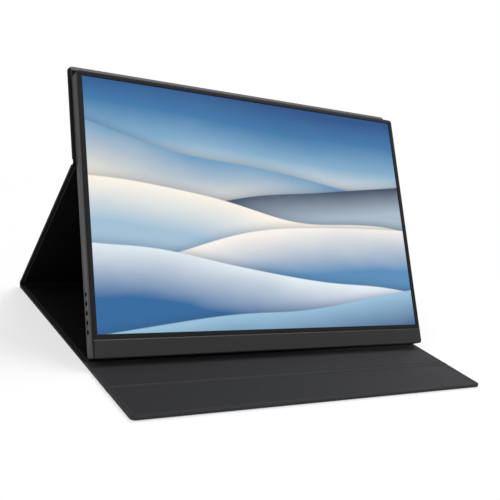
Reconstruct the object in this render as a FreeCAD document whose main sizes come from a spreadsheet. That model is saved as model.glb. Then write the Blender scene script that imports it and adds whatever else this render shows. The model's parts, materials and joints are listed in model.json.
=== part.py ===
"""A portable monitor standing in its folding cover, in millimetres.

X runs across the screen, Y from the viewer to the back and Z up. The origin is on
the table, at the middle of the cover's footprint.
"""
import FreeCAD
import Part
import Sketcher
import os

Vector = FreeCAD.Vector

# Driving sizes: name, value, what it is.
SIZES = [
    ("picture_width", 344.7, "width of a 16 inch picture of shape 16:10"),
    ("picture_height", 215.4, "height of the picture"),
    ("border_side", 4.4, "monitor border left and right of the picture"),
    ("border_top", 3.6, "monitor border above the picture"),
    ("chin_height", 18.5, "monitor height below the picture"),
    ("body_depth", 12.0, "monitor thickness"),
    ("body_corner", 3.0, "corner radius of the monitor's outline"),
    ("back_edge", 1.2, "rounding of the housing's back edge"),
    ("wall", 1.2, "housing wall"),
    ("bezel_thick", 1.6, "depth of the front bezel"),
    ("bezel_lip", 0.5, "lip of the bezel in front of the display cell"),
    ("strip_height", 14.2, "height of the chin strip"),
    ("strip_foot", 0.5, "lower edge of the chin strip above the bottom edge"),
    ("strip_end_gap", 1.5, "gap at each end of the chin strip"),
    ("strip_seat", 0.8, "depth of the chin strip's seat in the bezel"),
    ("strip_proud", 0.3, "how far the chin strip stands in front of the bezel"),
    ("cell_side", 1.65, "display cell beyond the picture at the sides"),
    ("cell_top", 2.0, "display cell beyond the picture at the top"),
    ("cell_bottom", 3.0, "display cell beyond the picture at the bottom"),
    ("cell_thick", 1.2, "display cell"),
    ("cell_play", 0.1, "gap round the display cell in the bezel"),
    ("film_thick", 0.4, "stack of optical films"),
    ("guide_thick", 0.8, "light guide"),
    ("reflector_thick", 0.2, "reflector sheet"),
    ("tray_floor", 0.4, "floor of the backlight tray"),
    ("tray_rim", 0.5, "rim of the backlight tray"),
    ("light_bar_height", 2.2, "light bar below the light guide"),
    ("board_thick", 0.8, "circuit boards"),
    ("driver_width", 262.0, "driver board behind the display's lower edge"),
    ("driver_height", 11.0, "driver board"),
    ("flex_width", 138.0, "flex that joins the display cell to the driver board"),
    ("flex_thick", 0.3, "flex and button cable"),
    ("main_inset", 10.0, "main board from the right side face"),
    ("main_width", 98.0, "main board"),
    ("main_foot", 27.0, "main board above the bottom edge"),
    ("main_height", 50.0, "main board"),
    ("main_screw_inset", 4.0, "main board screws from the board's edges"),
    ("keypad_inset", 6.0, "button board from the left side face"),
    ("keypad_width", 14.0, "button board"),
    ("keypad_margin", 9.0, "button board beyond the end buttons"),
    ("keypad_screw_inset", 3.2, "button board screws from the board's edges"),
    ("boss_rise", 0.4, "board bosses above the back wall"),
    ("boss_radius", 2.5, "board bosses"),
    ("screw_radius", 0.9, "board screw shank"),
    ("screw_head_radius", 1.7, "board screw head"),
    ("screw_head_rise", 0.7, "board screw head height"),
    ("screw_play", 0.1, "play round a screw shank"),
    ("screw_floor", 0.4, "back wall left below a screw hole"),
    ("screw_end_gap", 0.3, "gap below a screw's tip"),
    ("button_first", 21.4, "lowest side button above the bottom edge"),
    ("button_pitch", 7.5, "spacing of the side buttons"),
    ("button_forward", 4.6, "side buttons in front of the back face"),
    ("button_radius", 1.6, "side button cap"),
    ("button_play", 0.3, "gap round a side button cap"),
    ("button_sink", 0.2, "side button cap below the side face"),
    ("flange_lap", 0.4, "button flange beyond the edge of its hole"),
    ("flange_gap", 0.1, "button flange behind the wall"),
    ("flange_thick", 0.6, "button flange"),
    ("stem_radius", 0.8, "button stem"),
    ("stem_length", 3.3, "button stem behind the flange"),
    ("switch_gap", 0.6, "button stem to its switch at rest"),
    ("switch_width", 3.6, "push switch along the edge"),
    ("switch_depth", 3.2, "push switch across"),
    ("switch_cover", 1.2, "push switch in front of the button axis"),
    ("port_play", 0.2, "gap round a socket in the side wall"),
    ("socket_rise", 3.2, "socket shell above its board"),
    ("socket_length", 7.4, "socket shell"),
    ("socket_sink", 0.4, "socket mouth behind the side face"),
    ("socket_shell", 0.3, "socket shell wall"),
    ("socket_mouth", 6.0, "depth of a socket's mouth"),
    ("tongue_thick", 0.7, "contact tongue in a socket"),
    ("tongue_margin", 1.2, "contact tongue from the socket's ends and mouth"),
    ("usb_width", 9.0, "USB-C socket"),
    ("usb_round", 1.3, "corner radius of a USB-C socket"),
    ("usb_low", 40.0, "lower USB-C socket above the bottom edge"),
    ("usb_high", 54.0, "upper USB-C socket above the bottom edge"),
    ("hdmi_width", 11.2, "mini HDMI socket"),
    ("hdmi_round", 0.5, "corner radius of the mini HDMI socket"),
    ("hdmi_up", 68.0, "mini HDMI socket above the bottom edge"),
    ("jack_up", 88.0, "audio jack above the bottom edge"),
    ("jack_width", 6.0, "audio jack along the edge"),
    ("jack_rise", 4.6, "audio jack forward of the back wall"),
    ("jack_length", 13.0, "audio jack across"),
    ("jack_end", 1.0, "closed end of the audio jack"),
    ("jack_gap", 0.2, "audio jack to the side wall"),
    ("jack_bore", 1.8, "bore radius of the audio jack"),
    ("jack_nose", 0.25, "wall of the audio jack's nose in the side wall"),
    ("nose_sink", 0.3, "audio jack's nose below the side face"),
    ("speaker_inset", 24.0, "speakers from the side faces"),
    ("speaker_width", 40.0, "speakers"),
    ("speaker_gap", 0.4, "speakers to the bottom wall and the display"),
    ("speaker_rise", 3.8, "speakers forward of the back wall"),
    ("speaker_margin", 2.0, "frame round a speaker's mouth"),
    ("speaker_mouth", 1.0, "depth of a speaker's mouth"),
    ("slot_width", 1.4, "sound slots in the back wall"),
    ("slot_height", 5.0, "sound slots in the back wall"),
    ("slot_pitch", 3.6, "spacing of the sound slots"),
    ("slot_foot", 4.0, "sound slots above the bottom edge"),
    ("cable_width", 14.0, "display cable"),
    ("cable_thick", 0.2, "display cable"),
    ("cable_across", 22.0, "display cable from the main board's left end"),
    ("cable_lap", 9.0, "display cable on each board"),
    ("cable_clear", 1.0, "display cable above the driver board"),
    ("keypad_cable_up", 34.0, "button cable above the bottom edge"),
    ("keypad_cable_width", 6.0, "button cable"),
    ("keypad_cable_lap", 8.0, "button cable under each board"),
    ("magnet_length", 34.0, "magnets and keeper plates across"),
    ("magnet_depth", 9.0, "magnets and keeper plates along the panel"),
    ("magnet_thick", 1.0, "magnets and keeper plates"),
    ("magnet_spread", 119.0, "magnets left and right of the middle"),
    ("magnet_low", 16.0, "lower magnets above the upper fold"),
    ("magnet_high", 34.0, "upper magnets below the top of the cover"),
    ("magnet_front", 8.0, "flap magnets behind the front edge"),
    ("recline", 31.0, "lean of the monitor from upright, in degrees"),
    ("fold_drop", 76.5, "upper fold below the monitor's top edge"),
    ("front_reach", 90.0, "cover in front of the monitor's heel"),
    ("crease_reach", 44.5, "crease in front of the monitor's heel"),
    ("cover_overhang", 8.5, "cover above the monitor's top edge"),
    ("cover_overlap", 2.0, "cover beyond the monitor's sides"),
    ("cover_thick", 3.0, "thickness of a cover panel"),
    ("cover_corner", 4.0, "corner radius of the cover"),
    ("cover_edge", 0.6, "rounding of the cover's outer edge"),
    ("skin_thick", 0.8, "outer skin of the cover"),
    ("lining_thick", 0.5, "inner lining of the cover"),
    ("lining_sink", 0.1, "lining below the rim of the skin"),
    ("rim_width", 3.5, "turned rim of the skin"),
    ("bend_radius", 4.5, "outer radius of the rear fold"),
    ("bend_thick", 1.2, "web of the rear fold"),
    ("web_thick", 1.0, "webs of the upper fold and the crease"),
    ("upper_gap", 4.0, "upper fold axis to the end of a panel"),
    ("crease_gap", 3.0, "crease axis to the end of a panel"),
    ("crease_sink", 0.3, "web of the crease below the panel's inner face"),
    ("bead_radius", 0.65, "rounded bead along the crease"),
    ("seat_gap", 0.3, "gap between the monitor's back and the cover"),
    ("heel_lift", 0.3, "gap between the monitor's heel and the base"),
    ("heel_slot", 4.0, "gap between the base's two boards under the heel"),
    ("heel_groove", 0.3, "depth of the pressed groove under the heel"),
    ("groove_radius", 3.0, "radius of the pressed groove under the heel"),
]

# Side buttons from the lowest up, and sound slots in front of each speaker.
BUTTONS = ["power_button", "menu_button", "up_button", "down_button", "exit_button"]
SLOT_COUNT = 9

# Sizes that follow from the driving sizes.
DERIVED = [
    ("body_width", "picture_width + 2 * border_side"),
    ("body_left", "0 - body_width / 2"),
    ("body_right", "body_width / 2"),
    ("body_height", "picture_height + border_top + chin_height"),
    ("fold_height", "body_height - fold_drop"),
    ("cover_reach", "body_height + cover_overhang"),
    ("cover_width", "body_width + 2 * cover_overlap"),
    ("housing_depth", "body_depth - bezel_thick"),
    ("strip_left", "body_left + strip_end_gap"),
    ("strip_width", "body_width - 2 * strip_end_gap"),
    ("strip_back", "body_depth - strip_seat"),
    ("cell_width", "picture_width + 2 * cell_side"),
    ("cell_left", "0 - cell_width / 2"),
    ("cell_height", "picture_height + cell_top + cell_bottom"),
    ("cell_foot", "chin_height - cell_bottom"),
    ("cell_back", "body_depth - bezel_lip - cell_thick"),
    ("film_back", "cell_back - film_thick"),
    ("guide_back", "film_back - guide_thick"),
    ("reflector_back", "guide_back - reflector_thick"),
    ("tray_back", "reflector_back - tray_floor"),
    ("stack_left", "cell_left + tray_rim"),
    ("stack_width", "cell_width - 2 * tray_rim"),
    ("stack_foot", "cell_foot + tray_rim"),
    ("stack_height", "cell_height - 2 * tray_rim"),
    ("guide_foot", "stack_foot + light_bar_height"),
    ("guide_height", "stack_height - light_bar_height"),
    ("driver_back", "tray_back - board_thick"),
    ("board_back", "wall + boss_rise"),
    ("board_front", "board_back + board_thick"),
    ("main_left", "body_right - main_inset - main_width"),
    ("main_right", "body_right - main_inset"),
    ("keypad_left", "body_left + keypad_inset"),
    ("keypad_foot", "button_first - keypad_margin"),
    ("keypad_height", f"{len(BUTTONS) - 1} * button_pitch + 2 * keypad_margin"),
    ("screw_hole", "screw_radius + screw_play"),
    ("screw_tip", "screw_floor + screw_end_gap"),
    ("flange_near", "wall + flange_gap"),
    ("flange_far", "flange_near + flange_thick"),
    ("stem_far", "flange_far + stem_length"),
    ("switch_left", "body_left + stem_far + switch_gap"),
    ("socket_left", "body_right - socket_sink - socket_length"),
    ("socket_front", "board_front + socket_rise"),
    ("jack_right", "body_right - wall - jack_gap"),
    ("jack_forward", "wall + jack_rise / 2"),
    ("speaker_foot", "wall + speaker_gap"),
    ("speaker_height", "cell_foot - wall - 2 * speaker_gap"),
    ("cable_left", "main_left + cable_across"),
    ("cable_foot", "cell_foot + driver_height + cable_clear"),
    ("heel_z", "cover_thick + heel_lift"),
    ("hinge_inset", "seat_gap + web_thick / 2"),
    ("half_run", "fold_height * sin( recline ) + hinge_inset * cos( recline )"),
    ("fold_rise", "fold_height * cos( recline ) - hinge_inset * sin( recline )"),
    ("strut_rise", "fold_rise + heel_z - bend_radius"),
    ("strut_span", "sqrt( half_run * half_run + strut_rise * strut_rise )"),
    ("strut_offset", "bend_radius - cover_thick + web_thick / 2"),
    ("strut_length", "sqrt( strut_span * strut_span - strut_offset * strut_offset )"),
    ("strut_angle", "( atan2( strut_rise ; half_run ) - asin( strut_offset / strut_span ) ) / 1deg"),
    ("footprint", "front_reach + 2 * half_run + bend_radius"),
    ("front_y", "0 - footprint / 2"),
    ("heel_y", "front_y + front_reach"),
    ("crease_y", "heel_y - crease_reach"),
    ("fold_y", "heel_y + half_run"),
    ("fold_z", "heel_z + fold_rise"),
    ("rear_y", "heel_y + 2 * half_run"),
    ("panel_back", "cover_thick + seat_gap"),
    ("crease_z", "cover_thick - crease_sink - web_thick / 2"),
    ("cover_left", "0 - cover_width / 2"),
    ("board_top", "cover_thick - lining_sink - lining_thick"),
    ("board_rise", "board_top - skin_thick"),
    ("base_start", "crease_y + crease_gap"),
    ("base_length", "rear_y - base_start"),
    ("flap_length", "base_start - 2 * crease_gap - front_y"),
    ("back_start", "fold_height + upper_gap"),
    ("back_length", "cover_reach - back_start"),
]

doc = FreeCAD.newDocument("portable_monitor")
PREFIX = {alias: "Sizes." + alias for alias, _, _ in SIZES}
PREFIX.update({alias: "Derived." + alias for alias, _ in DERIVED})


def bound(text):
    """An expression with every size named in full."""
    return " ".join(PREFIX.get(word, word) for word in text.split())


sizes = doc.addObject("Spreadsheet::Sheet", "Sizes")
for row, (alias, number, note) in enumerate(SIZES, start=1):
    sizes.set(f"A{row}", note)
    sizes.set(f"B{row}", str(number))
    sizes.setAlias(f"B{row}", alias)
doc.recompute()

derived = doc.addObject("Spreadsheet::Sheet", "Derived")
for row, (alias, formula) in enumerate(DERIVED, start=1):
    derived.setAlias(f"B{row}", alias)
for row, (alias, formula) in enumerate(DERIVED, start=1):
    derived.set(f"A{row}", alias.replace("_", " "))
    derived.set(f"B{row}", "=" + bound(formula))
doc.recompute()

# Poses: axis of the turn, angle in degrees, and where the piece's own origin goes.
AHEAD = (1, 0, 0)
BEHIND = (-1, 0, 0)
FLAT = (AHEAD, None, "0", "0")
MONITOR = (BEHIND, "recline", "heel_y", "heel_z")
BACK_PANEL = (
    AHEAD,
    "90 - recline",
    "heel_y + panel_back * cos( recline )",
    "heel_z - panel_back * sin( recline )",
)
STRUT = (
    AHEAD,
    "180 - strut_angle",
    "rear_y + bend_radius * sin( strut_angle )",
    "bend_radius + bend_radius * cos( strut_angle )",
)
UPPER_FOLD = (AHEAD, None, "fold_y", "fold_z")
REAR_FOLD = (AHEAD, None, "rear_y", "bend_radius")
CREASE = (AHEAD, None, "crease_y", "crease_z")

NEAR = 0.01
DRAFT = 9.0
pieces = []


def value(alias):
    """The present value of a size."""
    sheet = derived if PREFIX[alias].startswith("Derived") else sizes
    return float(getattr(sheet, alias))


def set_turn(item, axis, turn):
    """Bind an item's turn about X to an angle."""
    item.Placement = FreeCAD.Placement(Vector(), FreeCAD.Rotation(Vector(*axis), 1))
    item.setExpression("Placement.Rotation.Angle", bound(turn))


def keep(item, name, pose):
    """Name a finished piece, place it and list it for writing."""
    axis, turn, place_y, place_z = pose
    item.Label = name
    if turn is not None:
        set_turn(item, axis, turn)
    item.setExpression("Placement.Base.y", bound(place_y))
    item.setExpression("Placement.Base.z", bound(place_z))
    pieces.append(item)
    return item


def new_body(name, pose):
    """An empty body that will hold one piece."""
    body = doc.addObject("PartDesign::Body", name + "_body")
    body.AllowCompound = True
    return keep(body, name, pose)


def origin_of(body, role):
    """One of the body's own planes or axes."""
    return next(item for item in body.Origin.OriginFeatures if item.Role == role)


def sketch_on(body, role, offset):
    """A sketch on one of the body's own planes, moved by an offset in the plane's frame."""
    sketch = body.newObject("Sketcher::SketchObject", "sketch")
    sketch.AttachmentSupport = [(origin_of(body, role), "")]
    sketch.MapMode = "FlatFace"
    for axis, place in zip("xyz", offset):
        sketch.setExpression(f"AttachmentOffset.Base.{axis}", bound(place))
    return sketch


def bind_size(sketch, constraint, name, size):
    """Add a named size to a sketch and bind it."""
    index = sketch.addConstraint(constraint)
    sketch.renameConstraint(index, name)
    sketch.setExpression("Constraints." + name, bound(size))


def rectangle(body, role, offset, width, height):
    """A sketch of one rectangle that starts at the offset."""
    sketch = sketch_on(body, role, offset)
    corners = [Vector(), Vector(DRAFT, 0, 0), Vector(DRAFT, DRAFT, 0), Vector(0, DRAFT, 0)]
    for start, end in zip(corners, corners[1:] + corners[:1]):
        sketch.addGeometry(Part.LineSegment(start, end), False)
    for line in range(4):
        sketch.addConstraint(Sketcher.Constraint("Coincident", line, 2, (line + 1) % 4, 1))
        direction = "Vertical" if line % 2 else "Horizontal"
        sketch.addConstraint(Sketcher.Constraint(direction, line))
    sketch.addConstraint(Sketcher.Constraint("Coincident", 0, 1, -1, 1))
    bind_size(sketch, Sketcher.Constraint("Distance", 0, DRAFT), "width", width)
    bind_size(sketch, Sketcher.Constraint("Distance", 1, DRAFT), "height", height)
    return sketch


def circle(body, role, offset, radius):
    """A sketch of one circle centred on the offset."""
    sketch = sketch_on(body, role, offset)
    sketch.addGeometry(Part.Circle(Vector(), Vector(0, 0, 1), DRAFT), False)
    sketch.addConstraint(Sketcher.Constraint("Coincident", 0, 3, -1, 1))
    bind_size(sketch, Sketcher.Constraint("Radius", 0, DRAFT), "radius", radius)
    return sketch


def pad(body, sketch, length):
    """Add material from the sketch along its normal."""
    feature = body.newObject("PartDesign::Pad", "pad")
    feature.Profile = sketch
    feature.setExpression("Length", bound(length))
    return feature


def pocket(body, sketch, length):
    """Remove material from the sketch along its normal."""
    feature = body.newObject("PartDesign::Pocket", "pocket")
    feature.Profile = sketch
    feature.Reversed = True
    feature.setExpression("Length", bound(length))
    return feature


def repeat(body, feature, role, count, spacing):
    """Repeat a feature along one of the body's own axes."""
    pattern = body.newObject("PartDesign::LinearPattern", "pattern")
    pattern.Originals = [feature]
    pattern.Direction = (origin_of(body, role), [""])
    pattern.Mode = "Spacing"
    pattern.Occurrences = count
    pattern.setExpression("Offset", bound(spacing))
    body.Tip = pattern


def runs_along(direction, axis):
    """Whether an edge runs along an axis."""
    return abs(getattr(direction, axis)) > 1 - NEAR


def round_edges(body, chosen, radius):
    """Round the edges of the body that pass a test on their middle point and direction."""
    doc.recompute()
    base = body.Tip
    names = []
    for number, edge in enumerate(base.Shape.Edges, start=1):
        middle = (edge.FirstParameter + edge.LastParameter) / 2
        if chosen(edge.valueAt(middle), edge.tangentAt(middle)):
            names.append(f"Edge{number}")
    fillet = body.newObject("PartDesign::Fillet", "fillet")
    fillet.Base = (base, names)
    fillet.setExpression("Radius", bound(radius))


def upright_plate(body, left, width, foot, height, back, thick):
    """A plate of the monitor, placed across, up, and forward from the back face."""
    return pad(body, rectangle(body, "XZ_Plane", (left, foot, back), width, height), thick)


def upright_cut(body, left, width, foot, height, back, thick):
    """A rectangular recess of the monitor, placed like a plate."""
    return pocket(body, rectangle(body, "XZ_Plane", (left, foot, back), width, height), thick)


def cover_layer(name, pose, start, length, bottom, thick, inset):
    """A flat layer of a cover panel, set in from the panel's sides."""
    body = new_body(name, pose)
    corner = (f"cover_left + {inset}", start, bottom)
    pad(body, rectangle(body, "XY_Plane", corner, f"cover_width - 2 * {inset}", length), thick)
    return body


def cover_skin(name, pose, start, length, free_end):
    """The outer skin of a cover panel: a shallow tray with a turned rim."""
    body = cover_layer(name, pose, start, length, "0", "cover_thick", "0")
    end_y = {"front": value("front_y"), "top": value("cover_reach")}.get(free_end)

    def at_free_end(point):
        return end_y is not None and abs(point.y - end_y) < value("cover_corner")

    def at_side(point):
        return value("cover_width") / 2 - abs(point.x) < value("cover_corner")

    if free_end is not None:
        round_edges(body, lambda p, d: runs_along(d, "z") and at_free_end(p), "cover_corner")
    round_edges(body, lambda p, d: abs(p.z) < NEAR and (at_side(p) or at_free_end(p)), "cover_edge")
    tray = rectangle(
        body,
        "XY_Plane",
        ("cover_left + rim_width", f"{start} + rim_width", "skin_thick"),
        "cover_width - 2 * rim_width",
        f"{length} - 2 * rim_width",
    )
    pocket(body, tray, "cover_thick")


# Cover panels: name, pose, start and length along the panel, free end.
PANELS = [
    ("flap", FLAT, "front_y", "flap_length", "front"),
    ("base", FLAT, "base_start", "base_length", None),
    ("strut", STRUT, "0", "strut_length - upper_gap", None),
    ("back", BACK_PANEL, "back_start", "back_length", "top"),
]
boards = {}
for name, pose, start, length, free_end in PANELS:
    cover_skin(name + "_skin", pose, start, length, free_end)
    inner_start = f"{start} + rim_width"
    inner_length = f"{length} - 2 * rim_width"
    lining = cover_layer(
        name + "_lining", pose, inner_start, inner_length, "board_top", "lining_thick", "rim_width"
    )
    if name == "base":
        base_lining = lining
        continue
    boards[name] = cover_layer(
        name + "_board", pose, inner_start, inner_length, "skin_thick", "board_rise", "rim_width"
    )

# The base has two boards, with the pressed groove for the monitor's heel between them.
BASE_BOARDS = [
    ("mid_board", "base_start + rim_width", "heel_y - heel_slot / 2 - base_start - rim_width"),
    ("rear_board", "heel_y + heel_slot / 2", "rear_y - rim_width - heel_y - heel_slot / 2"),
]
for name, start, length in BASE_BOARDS:
    cover_layer(name, FLAT, start, length, "skin_thick", "board_rise", "rim_width")
groove_centre = ("heel_y", "board_top + lining_thick + groove_radius - heel_groove", "cover_left")
pocket(base_lining, circle(base_lining, "YZ_Plane", groove_centre, "groove_radius"), "cover_width")

# Magnets let into the boards of the back panel and the flap: across and along places.
SIDES = ("0 - magnet_spread", "magnet_spread")
BACK_ROWS = ("fold_height + magnet_low", "cover_reach - magnet_high")
FLAP_ROWS = ("front_y + magnet_front",)
MAGNETS = [
    ("cover_magnets", "back", BACK_PANEL, BACK_ROWS),
    ("flap_magnets", "flap", FLAT, FLAP_ROWS),
]
for name, panel, pose, rows in MAGNETS:
    body = new_body(name, pose)
    for across in SIDES:
        for along in rows:
            corner = (f"{across} - magnet_length / 2", along, "board_top - magnet_thick")
            pad(body, rectangle(body, "XY_Plane", corner, "magnet_length", "magnet_depth"), "magnet_thick")
            seat = rectangle(boards[panel], "XY_Plane", corner, "magnet_length", "magnet_depth")
            pocket(boards[panel], seat, "cover_thick")

# Rear fold: a web bent round the fold's axis, from under the base to the back of the strut.
rear_web = new_body("rear_fold_web", REAR_FOLD)
bend = rear_web.newObject("PartDesign::Revolution", "bend")
bend.Profile = rectangle(
    rear_web, "XZ_Plane", ("cover_left", "0 - bend_radius", "0"), "cover_width", "bend_thick"
)
bend.ReferenceAxis = (origin_of(rear_web, "X_Axis"), [""])
bend.setExpression("Angle", bound("180 - strut_angle"))


def set_place(item, place):
    """Bind where an item's own origin goes."""
    for axis, position in zip("xyz", place):
        item.setExpression(f"Placement.Base.{axis}", bound(position))
    return item


def block(length, width, height, place, turn=None):
    """A block that may be turned about the X edge at its place."""
    item = doc.addObject("Part::Box", "block")
    for name, size in (("Length", length), ("Width", width), ("Height", height)):
        item.setExpression(name, bound(size))
    if turn is not None:
        set_turn(item, AHEAD, turn)
    return set_place(item, place)


def rod(radius, length, place):
    """A round rod along X."""
    item = doc.addObject("Part::Cylinder", "rod")
    item.Placement = FreeCAD.Placement(Vector(), FreeCAD.Rotation(Vector(0, 1, 0), 90))
    item.setExpression("Radius", bound(radius))
    item.setExpression("Height", bound(length))
    return set_place(item, place)


def fused(name, pose, shapes):
    """One piece made of shapes that run into each other."""
    union = doc.addObject("Part::MultiFuse", name + "_union")
    union.Shapes = shapes
    union.Refine = True
    return keep(union, name, pose)


# Upper fold: two short legs that meet on the fold's axis, with a rounded ridge there.
upper_leg = block(
    "cover_width",
    "upper_gap",
    "web_thick",
    ("cover_left", "web_thick / 2 * cos( recline )", "0 - web_thick / 2 * sin( recline )"),
    "90 - recline",
)
lower_leg = block(
    "cover_width",
    "upper_gap",
    "web_thick",
    (
        "cover_left",
        "upper_gap * cos( strut_angle ) + web_thick / 2 * sin( strut_angle )",
        "web_thick / 2 * cos( strut_angle ) - upper_gap * sin( strut_angle )",
    ),
    "180 - strut_angle",
)
upper_ridge = rod("web_thick / 2", "cover_width", ("cover_left", "0", "0"))
fused("upper_fold_web", UPPER_FOLD, [upper_leg, lower_leg, upper_ridge])

# Crease: a flat web with a pressed bead along the fold's axis.
crease_strip = block(
    "cover_width", "2 * crease_gap", "web_thick", ("cover_left", "0 - crease_gap", "0 - web_thick / 2")
)
crease_bead = rod("bead_radius", "cover_width", ("cover_left", "0", "0"))
fused("crease_web", CREASE, [crease_strip, crease_bead])

# Rear housing: a tray with a rounded back edge.
housing = new_body("rear_housing", MONITOR)
upright_plate(housing, "body_left", "body_width", "0", "body_height", "0", "housing_depth")
round_edges(housing, lambda p, d: runs_along(d, "y"), "body_corner")
round_edges(housing, lambda p, d: abs(p.y) < NEAR, "back_edge")
upright_cut(
    housing, "body_left + wall", "body_width - 2 * wall", "wall", "body_height - 2 * wall", "wall", "body_depth"
)

# Main board and button board on bosses, with the across and up places of their screws.
main_screws = [
    (across, up)
    for across in ("main_left + main_screw_inset", "main_right - main_screw_inset")
    for up in ("main_foot + main_screw_inset", "main_foot + main_height - main_screw_inset")
]
keypad_screws = [
    ("keypad_left + keypad_width - keypad_screw_inset", up)
    for up in ("keypad_foot + keypad_screw_inset", "keypad_foot + keypad_height - keypad_screw_inset")
]
CIRCUIT_BOARDS = [
    ("main_board", "main_left", "main_width", "main_foot", "main_height", main_screws),
    ("button_board", "keypad_left", "keypad_width", "keypad_foot", "keypad_height", keypad_screws),
]
screws = new_body("board_screws", MONITOR)
for name, left, width, foot, height, places in CIRCUIT_BOARDS:
    board = new_body(name, MONITOR)
    upright_plate(board, left, width, foot, height, "board_back", "board_thick")
    for across, up in places:
        pad(housing, circle(housing, "XZ_Plane", (across, up, "wall"), "boss_radius"), "boss_rise")
        pocket(housing, circle(housing, "XZ_Plane", (across, up, "screw_floor"), "screw_hole"), "body_depth")
        pocket(board, circle(board, "XZ_Plane", (across, up, "board_back"), "screw_hole"), "board_thick")
        shank = circle(screws, "XZ_Plane", (across, up, "screw_tip"), "screw_radius")
        pad(screws, shank, "board_front + screw_head_rise - screw_tip")
        head = circle(screws, "XZ_Plane", (across, up, "board_front"), "screw_head_radius")
        pad(screws, head, "screw_head_rise")

# Side buttons in the left wall, each with a flange behind the wall and a stem to its switch.
button_hole = circle(
    housing, "YZ_Plane", ("0 - button_forward", "button_first", "body_left"), "button_radius + button_play"
)
repeat(housing, pocket(housing, button_hole, "2 * wall"), "Z_Axis", len(BUTTONS), "button_pitch")
BUTTON_STEPS = [
    ("button_radius", "button_sink", "flange_far"),
    ("button_radius + button_play + flange_lap", "flange_near", "flange_far"),
    ("stem_radius", "flange_near", "stem_far"),
]
for index, name in enumerate(BUTTONS):
    height = f"button_first + {index} * button_pitch"
    steps = [
        rod(radius, f"{far} - {near}", (f"body_left + {near}", "0 - button_forward", height))
        for radius, near, far in BUTTON_STEPS
    ]
    fused(name, MONITOR, steps)
switches = new_body("tact_switches", MONITOR)
switch = upright_plate(
    switches,
    "switch_left",
    "switch_depth",
    "button_first - switch_width / 2",
    "switch_width",
    "board_front",
    "button_forward + switch_cover - board_front",
)
repeat(switches, switch, "Z_Axis", len(BUTTONS), "button_pitch")

# Sockets in the right wall: name, heights of the sockets, width, corner radius.
SOCKETS = [
    ("usb_c_sockets", ("usb_low", "usb_high"), "usb_width", "usb_round"),
    ("mini_hdmi_socket", ("hdmi_up",), "hdmi_width", "hdmi_round"),
]
for name, middles, width, corner in SOCKETS:
    socket = new_body(name, MONITOR)
    for middle in middles:
        foot = f"{middle} - {width} / 2"
        upright_plate(socket, "socket_left", "socket_length", foot, width, "board_front", "socket_rise")
    for middle in middles:
        mouth = rectangle(
            socket,
            "YZ_Plane",
            (
                "socket_shell - socket_front",
                f"{middle} - {width} / 2 + socket_shell",
                "socket_left + socket_length - socket_mouth",
            ),
            "socket_rise - 2 * socket_shell",
            f"{width} - 2 * socket_shell",
        )
        pocket(socket, mouth, "socket_mouth")
    shell_middle = value("socket_left") + value("socket_length") / 2
    round_edges(socket, lambda p, d: runs_along(d, "x") and p.x > shell_middle + NEAR, f"{corner} - socket_shell")
    round_edges(socket, lambda p, d: runs_along(d, "x") and abs(p.x - shell_middle) < NEAR, corner)
    for middle in middles:
        tongue = rectangle(
            socket,
            "YZ_Plane",
            (
                "0 - board_front - socket_rise / 2 - tongue_thick / 2",
                f"{middle} - {width} / 2 + tongue_margin",
                "socket_left",
            ),
            "tongue_thick",
            f"{width} - 2 * tongue_margin",
        )
        pad(socket, tongue, "socket_length - tongue_margin")
        opening = rectangle(
            housing,
            "YZ_Plane",
            (
                "0 - socket_front - port_play",
                f"{middle} - {width} / 2 - port_play",
                "body_right - 2 * wall",
            ),
            "socket_rise + 2 * port_play",
            f"{width} + 2 * port_play",
        )
        pocket(housing, opening, "3 * wall")

# Audio jack: a block on the back wall with a round bore, which a nose carries through the right wall.
jack = new_body("audio_jack", MONITOR)
upright_plate(
    jack,
    "jack_right - jack_length",
    "jack_length",
    "jack_up - jack_width / 2",
    "jack_width",
    "wall",
    "jack_rise",
)
nose_start = ("0 - jack_forward", "jack_up", "jack_right")
nose = circle(jack, "YZ_Plane", nose_start, "jack_bore + jack_nose")
pad(jack, nose, "body_right - nose_sink - jack_right")
bore_start = ("0 - jack_forward", "jack_up", "jack_right - jack_length + jack_end")
pocket(jack, circle(jack, "YZ_Plane", bore_start, "jack_bore"), "jack_length + jack_gap + wall")
hole_start = ("0 - jack_forward", "jack_up", "body_right - 2 * wall")
pocket(housing, circle(housing, "YZ_Plane", hole_start, "jack_bore + jack_nose + port_play"), "3 * wall")

# Speakers in the lower corners, each behind a row of sound slots in the back wall.
SPEAKERS = [
    ("speaker_left", "body_left + speaker_inset"),
    ("speaker_right", "body_right - speaker_inset - speaker_width"),
]
for name, left in SPEAKERS:
    slot = upright_cut(
        housing, f"{left} + 2 * speaker_margin", "slot_width", "slot_foot", "slot_height", "0", "2 * wall"
    )
    repeat(housing, slot, "X_Axis", SLOT_COUNT, "slot_pitch")
    speaker = new_body(name, MONITOR)
    upright_plate(speaker, left, "speaker_width", "speaker_foot", "speaker_height", "wall", "speaker_rise")
    upright_cut(
        speaker,
        f"{left} + speaker_margin",
        "speaker_width - 2 * speaker_margin",
        "speaker_foot + speaker_margin",
        "speaker_height - 2 * speaker_margin",
        "wall",
        "speaker_mouth",
    )

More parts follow.
